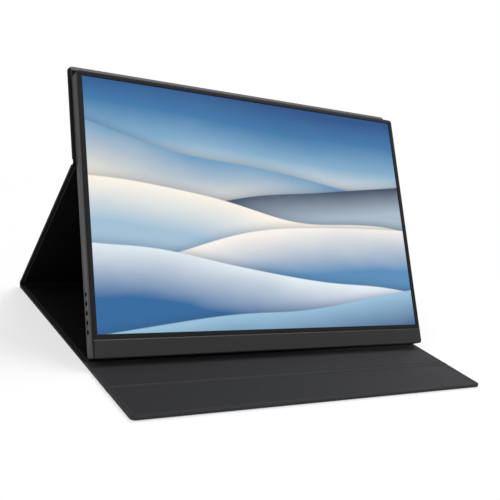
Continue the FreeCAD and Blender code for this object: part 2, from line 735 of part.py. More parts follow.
# Front bezel: a frame with a lip round the picture, a rebate for the cell and a seat for the chin strip.
bezel = new_body("front_bezel", MONITOR)
upright_plate(bezel, "body_left", "body_width", "0", "body_height", "housing_depth", "bezel_thick")
round_edges(bezel, lambda p, d: runs_along(d, "y"), "body_corner")
upright_cut(
    bezel,
    "0 - picture_width / 2",
    "picture_width",
    "chin_height",
    "picture_height",
    "housing_depth",
    "body_depth",
)
upright_cut(
    bezel,
    "cell_left - cell_play",
    "cell_width + 2 * cell_play",
    "cell_foot - flex_thick - cell_play",
    "cell_height + flex_thick + 2 * cell_play",
    "housing_depth",
    "bezel_thick - bezel_lip",
)
upright_cut(bezel, "strip_left", "strip_width", "strip_foot", "strip_height", "strip_back", "bezel_thick")
strip = new_body("chin_strip", MONITOR)
upright_plate(
    strip, "strip_left", "strip_width", "strip_foot", "strip_height", "strip_back", "strip_seat + strip_proud"
)
strip_front = value("body_depth") + value("strip_proud")
round_edges(strip, lambda p, d: abs(p.y + strip_front) < NEAR, "strip_proud")

# Flat pieces of the display and its cables: across, width, up, height, forward, thickness.
LAYERS = [
    ("lcd_cell", "cell_left", "cell_width", "cell_foot", "cell_height", "cell_back", "cell_thick"),
    ("optical_films", "stack_left", "stack_width", "stack_foot", "stack_height", "film_back", "film_thick"),
    ("light_guide", "stack_left", "stack_width", "guide_foot", "guide_height", "guide_back", "guide_thick"),
    ("led_bar", "stack_left", "stack_width", "stack_foot", "light_bar_height", "guide_back", "guide_thick"),
    (
        "reflector",
        "stack_left",
        "stack_width",
        "stack_foot",
        "stack_height",
        "reflector_back",
        "reflector_thick",
    ),
    (
        "driver_board",
        "0 - driver_width / 2",
        "driver_width",
        "cell_foot",
        "driver_height",
        "driver_back",
        "board_thick",
    ),
    (
        "panel_flex",
        "0 - flex_width / 2",
        "flex_width",
        "cell_foot - flex_thick",
        "flex_thick",
        "driver_back",
        "cell_back + cell_thick - driver_back",
    ),
    (
        "button_cable",
        "keypad_left + keypad_width - keypad_cable_lap",
        "main_left - keypad_left - keypad_width + 2 * keypad_cable_lap",
        "keypad_cable_up",
        "keypad_cable_width",
        "wall",
        "flex_thick",
    ),
]
for name, *place in LAYERS:
    upright_plate(new_body(name, MONITOR), *place)

tray = new_body("backlight_tray", MONITOR)
upright_plate(tray, "cell_left", "cell_width", "cell_foot", "cell_height", "tray_back", "cell_back - tray_back")
upright_cut(tray, "stack_left", "stack_width", "stack_foot", "stack_height", "reflector_back", "body_depth")

# Display cable: flat on the main board, forward, then flat on the back of the driver board.
cable = new_body("display_cable", MONITOR)
CABLE_LEGS = [
    ("cable_foot", "main_foot + cable_lap - cable_foot", "board_front", "cable_thick"),
    ("cable_foot", "cable_thick", "board_front", "driver_back - board_front"),
    ("cable_foot - cable_lap", "cable_lap + cable_thick", "driver_back - cable_thick", "cable_thick"),
]
for foot, height, back, thick in CABLE_LEGS:
    upright_plate(cable, "cable_left", "cable_width", foot, height, back, thick)

# Chips on the main board, as shares of the board: across, up, side and rise.
CHIPS = [
    (0.40, 0.36, 0.14, 0.012),
    (0.58, 0.44, 0.09, 0.010),
    (0.70, 0.24, 0.07, 0.014),
    (0.14, 0.56, 0.08, 0.010),
]
chips = new_body("main_board_chips", MONITOR)
for across, up, side, rise in CHIPS:
    upright_plate(
        chips,
        f"main_left + {across} * main_width",
        f"{side} * main_width",
        f"main_foot + {up} * main_height",
        f"{side} * main_width",
        "board_front",
        f"{rise} * main_width",
    )

# Steel keeper plates inside the back wall, opposite the cover's magnets.
keepers = new_body("keeper_plates", MONITOR)
for across in SIDES:
    for along in BACK_ROWS:
        left = f"{across} - magnet_length / 2"
        upright_plate(keepers, left, "magnet_length", along, "magnet_depth", "wall", "magnet_thick")

doc.recompute()
for item in doc.Objects:
    if "Invalid" in item.State or "Error" in item.State:
        raise RuntimeError(f"{item.Label} did not build")
for piece in pieces:
    if piece.Shape.isNull() or not piece.Shape.isValid() or not piece.Shape.Solids:
        raise RuntimeError(f"{piece.Label} is not a valid solid")

os.makedirs("parts", exist_ok=True)
for piece in pieces:
    piece.Shape.exportStep(f"parts/{piece.Label}.step")
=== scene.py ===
"""A portable monitor standing in its folding cover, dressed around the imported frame."""
import json
import math

import bmesh
import bpy
from mathutils import Matrix, Vector


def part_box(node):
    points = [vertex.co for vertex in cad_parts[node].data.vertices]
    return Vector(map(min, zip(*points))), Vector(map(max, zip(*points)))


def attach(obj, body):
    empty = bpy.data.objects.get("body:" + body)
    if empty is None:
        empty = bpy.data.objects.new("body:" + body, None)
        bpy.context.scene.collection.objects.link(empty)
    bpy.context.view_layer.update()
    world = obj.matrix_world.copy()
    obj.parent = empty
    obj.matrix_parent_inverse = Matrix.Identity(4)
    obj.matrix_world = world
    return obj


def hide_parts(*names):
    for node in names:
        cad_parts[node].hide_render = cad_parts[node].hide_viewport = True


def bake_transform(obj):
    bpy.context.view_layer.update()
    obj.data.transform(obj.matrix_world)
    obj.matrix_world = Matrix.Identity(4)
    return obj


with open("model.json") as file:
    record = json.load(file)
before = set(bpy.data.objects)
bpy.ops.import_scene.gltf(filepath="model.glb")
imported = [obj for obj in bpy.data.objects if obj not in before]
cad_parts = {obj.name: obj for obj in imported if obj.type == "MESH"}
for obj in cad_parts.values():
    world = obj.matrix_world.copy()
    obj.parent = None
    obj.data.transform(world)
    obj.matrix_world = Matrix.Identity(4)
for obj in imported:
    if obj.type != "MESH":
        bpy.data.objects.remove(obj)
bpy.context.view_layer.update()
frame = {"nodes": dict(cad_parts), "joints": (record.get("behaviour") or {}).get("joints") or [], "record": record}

bl_info = {
    "name": "Portable monitor in a folding cover",
    "version": (1, 0, 0),
    "blender": (4, 5, 0),
    "location": "View3D > Sidebar > Monitor",
    "description": "Dresses a portable monitor and its folding cover around the packed frame",
    "category": "Object",
}

MM = 0.001
NEAR = 0.02 * MM
TURN = 2.0 * math.pi
SHARP = math.radians(50.0)
SMOOTH = math.radians(38.0)
FLAT = math.radians(0.4)
WELD = 1e-6
FINE_WELD = 1e-7

# Segments of rounded edges, bends and flat runs.
CORNER_STEPS = 10
EDGE_STEPS = 4
BEZEL_STEPS = 3
FINE_STEPS = 2
REAR_STEPS = 30
UPPER_STEPS = 8
UPPER_CUTS = 3
CREASE_CUTS = 32
GROOVE_CUTS = 4

# How far a face's normal leans along an axis before the face counts as level, as the outside of a panel or
# of a fold, as flat side wall, as a side of the bezel, or as the underside.
LEVEL_LEAN = 0.9
PANEL_LEAN = 0.1
FOLD_LEAN = 0.2
WALL_LEAN = 0.95
BEZEL_LEAN = 0.5
UNDER_LEAN = 0.7

# Places read from the frame.
JOINTS = {joint["name"]: joint for joint in frame["joints"]}
FOLD = Vector(JOINTS["panel_fold"]["pos_m"])
REAR = Vector(JOINTS["strut_fold"]["pos_m"])
CREASE = Vector(JOINTS["flap_fold"]["pos_m"])
UP = Vector(JOINTS["monitor_lift"]["axis"]).normalized()
BACK = Vector((0.0, UP.z, -UP.y))
ACROSS = Vector((1.0, 0.0, 0.0))
HALF_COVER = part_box("base_skin")[1].x
HALF_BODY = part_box("rear_housing")[1].x
FRONT_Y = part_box("flap_skin")[0].y

# Sizes of the frame that its boxes do not give.
PANEL_THICK = 3.0 * MM
FOLD_HEIGHT = 161.0 * MM
COVER_REACH = 246.0 * MM
SEAT_GAP = 0.3 * MM
WEB_THICK = 1.0 * MM
BEND_THICK = 1.2 * MM
UPPER_GAP = 4.0 * MM
UPPER_RADIUS = 2.2 * MM
CREASE_GAP = 3.0 * MM
CREASE_FLOOR = 0.2 * MM
BEND_RADIUS = REAR.z
HINGE_INSET = SEAT_GAP + WEB_THICK / 2
WEB_OFFSET = BEND_RADIUS - PANEL_THICK + WEB_THICK / 2
HEEL = FOLD - UP * FOLD_HEIGHT - BACK * HINGE_INSET

# The strut's slope and length follow from the two folds that it joins.
STRUT_SPAN = (FOLD - REAR).length
STRUT_LENGTH = math.sqrt(STRUT_SPAN ** 2 - WEB_OFFSET ** 2)
STRUT_ANGLE = math.atan2(FOLD.z - REAR.z, REAR.y - FOLD.y) - math.asin(WEB_OFFSET / STRUT_SPAN)
STRUT_ALONG = Vector((0.0, -math.cos(STRUT_ANGLE), math.sin(STRUT_ANGLE)))
STRUT_FOOT = REAR + BEND_RADIUS * Vector((0.0, math.sin(STRUT_ANGLE), math.cos(STRUT_ANGLE)))


def lay(origin, along):
    """A frame whose Y runs along a panel and whose Z points to the panel's inner face."""
    turn = Matrix((ACROSS, along, ACROSS.cross(along))).transposed().to_4x4()
    return Matrix.Translation(origin) @ turn


MONITOR = lay(HEEL, UP)
FROM_MONITOR = MONITOR.inverted()

# Cover panels: frame, start and end along the panel, free end, body.
PANELS = {
    "flap": (Matrix(), FRONT_Y, CREASE.y - CREASE_GAP, "start", "front_flap"),
    "base": (Matrix(), CREASE.y + CREASE_GAP, REAR.y, None, "base"),
    "strut": (lay(STRUT_FOOT, STRUT_ALONG), 0.0, STRUT_LENGTH - UPPER_GAP, None, "strut"),
    "back": (
        lay(HEEL + BACK * (SEAT_GAP + PANEL_THICK), UP),
        FOLD_HEIGHT + UPPER_GAP,
        COVER_REACH,
        "end",
        "back_panel",
    ),
}

# Painted light and shade on the skin: how light it is painted on its side, its rounded edge, its rim and the line
# along the lining, lit at the front of the cover, shaded at its rear, and highlighted along the upper edge behind
# the monitor.
FRONT_LIT_SHARES = (0.16, 0.19, 0.09, 0.16)
REAR_SHADED_SHARES = (0.0, 0.0, 0.015, 0.16)
UPPER_HIGHLIGHT_SHARES = (0.0, 0.3, 1.0, 0.6)
CREASE_HIGHLIGHT_SHARE = 0.5

# How much lighter than the lining or the chin strip the painted light, the painted highlights and the light lines
# get.
SKIN_LIGHT_GAIN = 11.0
CREASE_HIGHLIGHT_GAIN = 2.2
CHIN_HIGHLIGHT_GAIN = 4.0

BUTTONS = ("power_button", "menu_button", "up_button", "down_button", "exit_button")


def tone(red, green, blue):
    """A colour given as it looks on a screen, 0 to 255, as scene-linear numbers."""
    shares = (red / 255.0, green / 255.0, blue / 255.0)
    return tuple(s / 12.92 if s <= 0.04045 else ((s + 0.055) / 1.055) ** 2.4 for s in shares) + (1.0,)


def scaled(colour, share):
    """A colour made darker or lighter by a share."""
    return tuple(min(1.0, part * share) for part in tuple(colour)[:3]) + (1.0,)


BLACK = (0.0, 0.0, 0.0, 1.0)
WHITE = (1.0, 1.0, 1.0, 1.0)

# The picture on the screen: a ground graded by height, and sheets that overlap from far to near, as height,
# slope, swing, frequency, seed, colour at the edge, colour deeper in, depth of the grading.
GROUND = (
    (0.50, tone(247, 238, 220)),
    (0.64, tone(214, 220, 220)),
    (0.76, tone(128, 170, 200)),
    (0.88, tone(56, 116, 166)),
    (1.00, tone(20, 74, 132)),
)
SHEETS = (
    (0.70, -0.30, 0.10, 1.3, 5.3, tone(108, 156, 192), tone(240, 232, 216), 0.24),
    (0.56, 0.24, 0.09, 1.2, 17.6, tone(58, 74, 98), tone(168, 184, 198), 0.13),
    (0.50, -0.16, 0.10, 1.5, 29.3, tone(250, 243, 230), tone(160, 190, 212), 0.18),
    (0.36, 0.22, 0.10, 1.3, 41.8, tone(246, 241, 234), tone(84, 138, 182), 0.20),
    (0.24, -0.20, 0.10, 1.4, 58.4, tone(226, 235, 241), tone(44, 102, 156), 0.20),
    (0.08, 0.16, 0.09, 1.2, 73.9, tone(150, 190, 216), tone(16, 66, 120), 0.18),
)
SHEET_SHADE = tone(26, 54, 92)
SHADE_REACH = 0.05
EDGE_SOFT = 0.005
MARGIN_SOFT = 0.25 * MM
CHIN_HIGHLIGHT_SOFT = 0.3 * MM

# Grain of the finishes, in cells or waves to the metre.
SKIN_PEBBLES = 850.0
SKIN_CREASES = 2600.0
SKIN_CLOUDS = 24.0
LINING_CLOUDS = 30.0
LINING_FUZZ = 3200.0
PAINT_CLOUDS = 18.0
CHIN_CLOUDS = 12.0
CHIN_STREAKS = (30.0, 2600.0, 2600.0)

# The stage: the floor, the camera's film, and the lamps as name, place, aim, size and the setting that holds
# their power.
FLOOR_HALF = 6.0
FLOOR_DROP = 0.4 * MM
FLOOR_COLOUR = (0.94, 0.94, 0.94, 1.0)
FILM_WIDTH = 36.0
CLIP_START = 10.0 * MM
LAMPS = (
    ("key_light", (0.75, 0.35, 1.35), (0.05, -0.05, 0.05), 1.1, "key"),
    ("fill_light", (-1.25, -0.25, 1.05), (-0.1, 0.0, 0.1), 0.9, "fill"),
    ("front_light", (-0.7, -1.4, 0.7), (0.0, 0.0, 0.08), 1.2, "front"),
)


class CoverSizes(bpy.types.PropertyGroup):
    """Sizes of the cover's skins, linings and folds."""

    rim_width: bpy.props.FloatProperty(
        name="Rim width", description="Turned rim of the skin", default=3.5 * MM, unit="LENGTH"
    )
    corner: bpy.props.FloatProperty(
        name="Corner radius", description="Free corners of the cover", default=4.0 * MM, unit="LENGTH"
    )
    floor: bpy.props.FloatProperty(
        name="Skin floor", description="Skin under the boards", default=0.8 * MM, unit="LENGTH"
    )
    edge_round: bpy.props.FloatProperty(
        name="Edge rounding", description="Rounding of the turned edges", default=0.55 * MM, unit="LENGTH"
    )
    tape: bpy.props.FloatProperty(
        name="Edge tape", description="Lighter inner part of the rim", default=1.1 * MM, unit="LENGTH"
    )
    lip: bpy.props.FloatProperty(
        name="Fold lip", description="Skin that shows beside a fold", default=0.15 * MM, unit="LENGTH"
    )
    lining_thick: bpy.props.FloatProperty(
        name="Lining thickness", description="Inner lining", default=0.5 * MM, unit="LENGTH"
    )
    lining_sink: bpy.props.FloatProperty(
        name="Lining sink", description="Lining below the rim", default=0.1 * MM, unit="LENGTH"
    )
    lining_gap: bpy.props.FloatProperty(
        name="Lining gap", description="Gap round the lining", default=0.06 * MM, unit="LENGTH"
    )
    lining_round: bpy.props.FloatProperty(
        name="Lining rounding",
        description="Rounding where rim and lining meet",
        default=0.16 * MM,
        unit="LENGTH",
    )
    line_inset: bpy.props.FloatProperty(
        name="Line inset", description="Pressed line from an edge", default=1.6 * MM, unit="LENGTH"
    )
    line_width: bpy.props.FloatProperty(
        name="Line width", description="Half the width of a pressed line", default=0.32 * MM, unit="LENGTH"
    )
    line_depth: bpy.props.FloatProperty(
        name="Line depth", description="Depth of a pressed line", default=0.14 * MM, unit="LENGTH"
    )
    heel_depth: bpy.props.FloatProperty(
        name="Heel groove depth", description="Pressed groove under the heel", default=0.3 * MM, unit="LENGTH"
    )
    heel_half: bpy.props.FloatProperty(
        name="Heel groove half width", description="Half the heel groove", default=1.3 * MM, unit="LENGTH"
    )
    bead_height: bpy.props.FloatProperty(
        name="Bead height", description="Swelling along the front crease", default=0.3 * MM, unit="LENGTH"
    )
    bead_half: bpy.props.FloatProperty(
        name="Bead half width", description="Half the swelling", default=1.1 * MM, unit="LENGTH"
    )
    rib_pitch: bpy.props.FloatProperty(
        name="Rib pitch", description="Spacing of the lining's ribs", default=1.1 * MM, unit="LENGTH"
    )


class MonitorSizes(bpy.types.PropertyGroup):
    """Sizes of the monitor's outside."""

    depth: bpy.props.FloatProperty(
        name="Depth", description="Monitor thickness", default=12.0 * MM, unit="LENGTH"
    )
    housing_depth: bpy.props.FloatProperty(
        name="Housing depth", description="Rear housing", default=10.4 * MM, unit="LENGTH"
    )
    height: bpy.props.FloatProperty(
        name="Height", description="Monitor height", default=237.5 * MM, unit="LENGTH"
    )
    wall: bpy.props.FloatProperty(
        name="Wall", description="Housing wall", default=1.2 * MM, unit="LENGTH"
    )
    picture_width: bpy.props.FloatProperty(
        name="Picture width", description="Lit width", default=344.7 * MM, unit="LENGTH"
    )
    picture_height: bpy.props.FloatProperty(
        name="Picture height", description="Lit height", default=215.4 * MM, unit="LENGTH"
    )
    chin: bpy.props.FloatProperty(
        name="Chin", description="Height below the picture", default=18.5 * MM, unit="LENGTH"
    )
    strip_top: bpy.props.FloatProperty(
        name="Strip top", description="Upper edge of the chin strip", default=14.7 * MM, unit="LENGTH"
    )
    # Width of the painted highlight along the chin strip's upper edge.
    strip_highlight: bpy.props.FloatProperty(
        name="Strip line", description="Light line on the strip's upper edge", default=0.9 * MM, unit="LENGTH"
    )
    # How far round each button the housing is painted black as shade; the hole's rim is rounded within the same
    # reach.
    hole_shade_reach: bpy.props.FloatProperty(
        name="Hole reach", description="Black inside of a button hole", default=2.46 * MM, unit="LENGTH"
    )
    hole_round: bpy.props.FloatProperty(
        name="Hole rounding", description="Sunk rim of a button hole", default=0.5 * MM, unit="LENGTH"
    )
    margin: bpy.props.FloatProperty(
        name="Dark margin", description="Unlit margin of the display", default=0.3 * MM, unit="LENGTH"
    )
    seam_round: bpy.props.FloatProperty(
        name="Seam rounding", description="Rounding along the parting line", default=0.18 * MM, unit="LENGTH"
    )
    button_round: bpy.props.FloatProperty(
        name="Button rounding", description="Rounding of a button's cap", default=0.35 * MM, unit="LENGTH"
    )


class Colours(bpy.types.PropertyGroup):
    """Colours of the finishes."""

    skin: bpy.props.FloatVectorProperty(
        name="Skin", description="Cover's skin", default=tone(18, 18, 19)[:3], subtype="COLOR"
    )
    lining: bpy.props.FloatVectorProperty(
        name="Lining", description="Cover's lining", default=tone(35, 35, 37)[:3], subtype="COLOR"
    )
    housing: bpy.props.FloatVectorProperty(
        name="Housing", description="Rear housing", default=tone(47, 46, 48)[:3], subtype="COLOR"
    )
    bezel: bpy.props.FloatVectorProperty(
        name="Bezel", description="Front bezel", default=tone(20, 20, 21)[:3], subtype="COLOR"
    )
    chin: bpy.props.FloatVectorProperty(
        name="Chin strip", description="Chin strip", default=tone(42, 42, 42)[:3], subtype="COLOR"
    )
    button: bpy.props.FloatVectorProperty(
        name="Buttons", description="Side buttons", default=tone(6, 6, 6)[:3], subtype="COLOR"
    )


class StageSettings(bpy.types.PropertyGroup):
    """Camera and light."""

    lens: bpy.props.FloatProperty(
        name="Lens", description="Focal length in millimetres", default=57.708
    )
    place: bpy.props.FloatVectorProperty(
        name="Camera place",
        description="Where the camera stands",
        default=(-0.42156, -0.572207, 0.26488),
        subtype="TRANSLATION",
        unit="LENGTH",
    )
    yaw: bpy.props.FloatProperty(name="Yaw", description="Turn to the right", default=0.6137, subtype="ANGLE")
    pitch: bpy.props.FloatProperty(name="Pitch", description="Turn down", default=0.25115, subtype="ANGLE")
    roll: bpy.props.FloatProperty(
        name="Roll", description="Turn about the view", default=0.20835, subtype="ANGLE"
    )
    ambient: bpy.props.FloatProperty(name="Ambient", description="Light from all round", default=0.36)
    key: bpy.props.FloatProperty(name="Key", description="Main light", default=18.0, unit="POWER")
    fill: bpy.props.FloatProperty(name="Fill", description="Light from the left", default=8.0, unit="POWER")
    front: bpy.props.FloatProperty(
        name="Front", description="Light from the front", default=5.0, unit="POWER"
    )
    reach: bpy.props.FloatProperty(
        name="Floor reach", description="Where the floor starts to turn white", default=0.34, unit="LENGTH"
    )
    glow: bpy.props.FloatProperty(
        name="Floor glow", description="Share of plain white in the floor", default=0.55, subtype="FACTOR"
    )


class Signal:
    """A socket that takes part in Python arithmetic."""

    def __init__(self, shading, socket):
        self.shading = shading
        self.socket = socket

    def join(self, operation, first, second=0.0, limit=False):
        """A Math node on two values."""
        settings = {"operation": operation, "use_clamp": limit}
        return self.shading.node("ShaderNodeMath", settings, {0: first, 1: second})

    def __add__(self, other):
        return self.join("ADD", self, other)

    __radd__ = __add__

    def __mul__(self, other):
        return self.join("MULTIPLY", self, other)

    __rmul__ = __mul__

    def __sub__(self, other):
        return self.join("SUBTRACT", self, other)

    def __rsub__(self, other):
        return self.join("SUBTRACT", other, self)

    def __truediv__(self, other):
        return self.join("DIVIDE", self, other)

    def wave(self):
        """A cosine between 0 and 1."""
        return 0.5 + 0.5 * self.join("COSINE", self)

    def size(self):
        """The value without its sign."""
        return self.join("ABSOLUTE", self)

    def limited(self):
        """The value kept between 0 and 1."""
        return self.join("ADD", self, 0.0, True)


class Shading:
    """Builds the nodes of one node tree."""

    def __init__(self, tree):
        self.tree = tree

    def feed(self, socket, value):
        """Link a signal to a socket, or set a plain value on it."""
        if isinstance(value, Signal):
            self.tree.links.new(value.socket, socket)
        else:
            socket.default_value = value

    def node(self, kind, settings, sockets, output=0):
        """Make any node: its settings first, then what its sockets take."""
        made = self.tree.nodes.new(kind)
        for name, setting in settings.items():
            if name == "stops":
                while len(made.color_ramp.elements) < len(setting):
                    made.color_ramp.elements.new(1.0)
                for element, (position, colour) in zip(made.color_ramp.elements, setting):
                    element.position = position
                    element.color = colour
            else:
                setattr(made, name, setting)
        for name, value in sockets.items():
            self.feed(made.inputs[name], value)
        return Signal(self, made.outputs[output])

    def seen(self):
        """1 for rays that show a surface to the eye, straight or by a reflection."""
        kinds = ("Is Camera Ray", "Is Glossy Ray", "Is Transmission Ray")
        straight, mirrored, through = (self.node("ShaderNodeLightPath", {}, {}, kind) for kind in kinds)
        return (straight + mirrored + through).limited()


class Finish(Shading):
    """A material with one surface shader."""

    def __init__(self, name, constants):
        self.material = bpy.data.materials.new(name)
        self.material.use_nodes = True
        super().__init__(self.material.node_tree)
        self.surface = self.tree.nodes["Principled BSDF"]
        for socket, value in constants.items():
            self.surface.inputs[socket].default_value = value

    def paint(self, socket, value):
        """Feed one socket of the surface."""
        self.feed(self.surface.inputs[socket], value)

    def marked(self, name):
        """How far a face is marked."""
        return self.node("ShaderNodeAttribute", {"attribute_name": name}, {}, "Fac")

    def panel_place(self):
        """Where a point lies on its flat panel."""
        return self.node("ShaderNodeAttribute", {"attribute_name": "flat"}, {}, "Vector")

    def object_place(self):
        """Where a point lies in the object's frame."""
        return self.node("ShaderNodeTexCoord", {}, {}, "Object")

    def parts(self, vector):
        """The three numbers of a vector."""
        return [self.node("ShaderNodeSeparateXYZ", {}, {0: vector}, axis) for axis in "XYZ"]

    def noise(self, place, scale, detail=2.0):
        """Soft noise between 0 and 1."""
        return self.node("ShaderNodeTexNoise", {}, {"Vector": place, "Scale": scale, "Detail": detail})

    def swell(self, value, detail=0.5):
        """Soft noise along one number."""
        sockets = {"W": value, "Scale": 1.0, "Detail": detail}
        return self.node("ShaderNodeTexNoise", {"noise_dimensions": "1D"}, sockets)

    def cells(self, place, scale):
        """Distance to the nearest of scattered points."""
        return self.node("ShaderNodeTexVoronoi", {}, {"Vector": place, "Scale": scale})

    def stretched(self, place, scale):
        """A place with its axes scaled."""
        return self.node("ShaderNodeVectorMath", {"operation": "MULTIPLY"}, {0: place, 1: scale})

    def mix(self, share, first, second):
        """A colour between two others."""
        return self.node("ShaderNodeMix", {"data_type": "RGBA"}, {0: share, 6: first, 7: second}, 2)

    def mottled(self, share, colour, dark, light):
        """A colour that wavers between a darker and a lighter one."""
        return self.mix(share, scaled(colour, dark), scaled(colour, light))

    def relief(self, height, distance, strength):
        """Fine relief on the surface."""
        sockets = {"Strength": strength, "Distance": distance, "Height": height}
        self.paint("Normal", self.node("ShaderNodeBump", {}, sockets))


def skin_finish(colours, sizes):
    """Fine grained cover skin with a coat on its outside, and painted light and shade on its rims and edges."""
    finish = Finish("cover_skin", {"Specular IOR Level": 0.05, "Coat Roughness": 0.4})
    place = finish.panel_place()
    rub = finish.marked("rub")
    pebble = finish.cells(place, SKIN_PEBBLES)
    crease = finish.noise(place, SKIN_CREASES, 3.0)
    cloud = finish.noise(place, SKIN_CLOUDS, 3.0)
    shade = 0.55 * cloud + 0.45 * pebble
    plain = finish.mottled(shade, colours.skin, 0.72, 1.35)
    # Marked rims and edges take a lighter grey: painted light and shade, with the light line along the lining.
    finish.paint("Base Color", finish.mix(rub, plain, scaled(colours.lining, SKIN_LIGHT_GAIN)))
    finish.paint("Roughness", 0.46 + 0.16 * cloud + 0.1 * pebble)
    polish = finish.marked("polish")
    finish.paint("Coat Weight", polish * (0.3 + 0.1 * cloud))
    finish.relief(pebble + 0.45 * crease, distance=0.1 * MM, strength=0.5)
    return finish


def lining_finish(colours, sizes, name="ribbed_lining", share=1.0, shine=0.12, sheen=0.03):
    """Lining woven in fine ribs, with a painted highlight along the crease's bead."""
    colour = scaled(colours.lining, share)
    finish = Finish(name, {"Specular IOR Level": shine, "Sheen Weight": sheen, "Sheen Roughness": 0.5})
    place = finish.panel_place()
    across, along, _ = finish.parts(place)
    rib = (along * (TURN / sizes.rib_pitch)).wave()
    knot = (across * (TURN / (1.6 * sizes.rib_pitch))).wave()
    weave = rib * (0.68 + 0.32 * knot)
    cloud = finish.noise(place, LINING_CLOUDS, 3.0)
    fuzz = finish.noise(place, LINING_FUZZ, 2.0)
    shade = 0.5 * weave + 0.3 * cloud + 0.2 * fuzz
    plain = finish.mottled(shade, colour, 0.62, 1.42)
    rub = finish.marked("rub")
    # Marked faces take a painted highlight, on the crease's bead.
    finish.paint("Base Color", finish.mix(rub, plain, scaled(colour, CREASE_HIGHLIGHT_GAIN)))
    finish.paint("Roughness", 0.68 + 0.14 * cloud + 0.08 * weave)
    finish.relief(weave + 0.3 * fuzz, distance=0.16 * MM, strength=0.6)
    return finish


def painted_shade_lining_finish(colours, sizes):
    """The same lining darkened to dull black as painted shade, for all that lies behind the monitor."""
    return lining_finish(colours, sizes, "black_lining", share=0.16, shine=0.045, sheen=0.0)


def sprayed_finish(name, colour, roughness, speckle, shine, rim_colour=None):
    """Satin paint or moulded plastic with a fine blasted texture; marked faces take a second colour."""
    finish = Finish(name, {"Specular IOR Level": shine})
    place = finish.object_place()
    cloud = finish.noise(place, PAINT_CLOUDS, 3.0)
    grain = finish.noise(place, speckle, 2.0)
    shade = 0.5 * cloud + 0.5 * grain
    colour_now = finish.mottled(shade, colour, 0.86, 1.14)
    if rim_colour is not None:
        # Marked faces take the second colour: painted shade in the housing's holes and underside, the housing's
        # grey on the bezel's side.
        rim = finish.marked("rub")
        side = finish.mottled(shade, rim_colour, 0.86, 1.14)
        colour_now = finish.mix(rim, colour_now, side)
    finish.paint("Base Color", colour_now)
    finish.paint("Roughness", roughness + 0.12 * (grain - 0.5) + 0.1 * (cloud - 0.5))
    finish.relief(grain, distance=0.03 * MM, strength=0.3)
    return finish


def housing_finish(colours, sizes):
    """Satin grey housing, painted black as shade inside the button holes and on its underside."""
    look = {"roughness": 0.44, "speckle": 3600.0, "shine": 0.25}
    return sprayed_finish("grey_housing", colours.housing, **look, rim_colour=colours.button)


def bezel_finish(colours, sizes):
    """Matt black bezel with the housing's grey on its outer side."""
    look = {"roughness": 0.5, "speckle": 4200.0, "shine": 0.14}
    return sprayed_finish("black_bezel", colours.bezel, **look, rim_colour=colours.housing)


def button_finish(colours, sizes):
    """Matt black buttons."""
    return sprayed_finish("black_button", colours.button, roughness=0.6, speckle=5200.0, shine=0.0)


def chin_finish(colours, sizes):
    """Matt dark strip with a faint grain along it and a painted highlight along its upper edge, fading to the
    right.
    """
    finish = Finish("chin_strip", {"Specular IOR Level": 0.2})
    place = finish.object_place()
    x, y, z = finish.parts(place)
    above = y * UP.y + z * UP.z - (HEEL.dot(UP) + sizes.strip_top - sizes.strip_highlight)
    # Painted highlight on the strip's upper edge, brightest at the left and fading to the right.
    line = (above / CHIN_HIGHLIGHT_SOFT).limited() * (0.65 - 1.6 * x).limited()
    streak = finish.noise(finish.stretched(place, CHIN_STREAKS), 1.0, 3.0)
    cloud = finish.noise(place, CHIN_CLOUDS, 2.0)
    shade = 0.6 * streak + 0.4 * cloud
    plain = finish.mottled(shade, colours.chin, 0.8, 1.2)
    finish.paint("Base Color", finish.mix(line, plain, scaled(colours.chin, CHIN_HIGHLIGHT_GAIN)))
    finish.paint("Roughness", 0.46 + 0.16 * streak)
    finish.relief(streak, distance=0.02 * MM, strength=0.25)
    return finish


def screen_finish(colours, sizes):
    """Lit display: curved sheets that overlap, from deep blue to cream."""
    finish = Finish(
        "lit_screen",
        {"Base Color": BLACK, "Roughness": 0.36, "Specular IOR Level": 0.22, "Emission Strength": 1.0},
    )
    x, y, z = finish.parts(finish.object_place())
    across = x / sizes.picture_width + 0.5
    rise = (y * UP.y + z * UP.z - (HEEL.dot(UP) + sizes.chin)) / sizes.picture_height
    spot = finish.node("ShaderNodeCombineXYZ", {}, {"X": across, "Y": rise * 1.6})
    mist = finish.noise(spot, 2.4, 3.0)
    level = rise + 0.07 * (across - 0.5) + 0.08 * (mist - 0.5)
    picture = finish.node("ShaderNodeValToRGB", {"stops": GROUND}, {"Fac": level})
    for height, slope, swing, pace, seed, edge, deep, depth in SHEETS:
        bow = swing * (finish.swell(across * pace + seed) - 0.5)
        below = height + slope * (across - 0.5) + 2.0 * bow - rise
        shade = (below / SHADE_REACH + 1.0).limited()
        picture = finish.mix(0.35 * shade * shade, picture, SHEET_SHADE)
        sheet = finish.mix((below / depth + 0.5 * (mist - 0.5)).limited(), edge, deep)
        picture = finish.mix((below / EDGE_SOFT + 0.5).limited(), picture, sheet)
    edges = (
        (0.5 - (across - 0.5).size()) * sizes.picture_width,
        (0.5 - (rise - 0.5).size()) * sizes.picture_height,
    )
    for edge in edges:
        picture = finish.mix(((edge - sizes.margin) / MARGIN_SOFT).limited(), BLACK, picture)
    finish.paint("Emission Color", picture)
    return finish


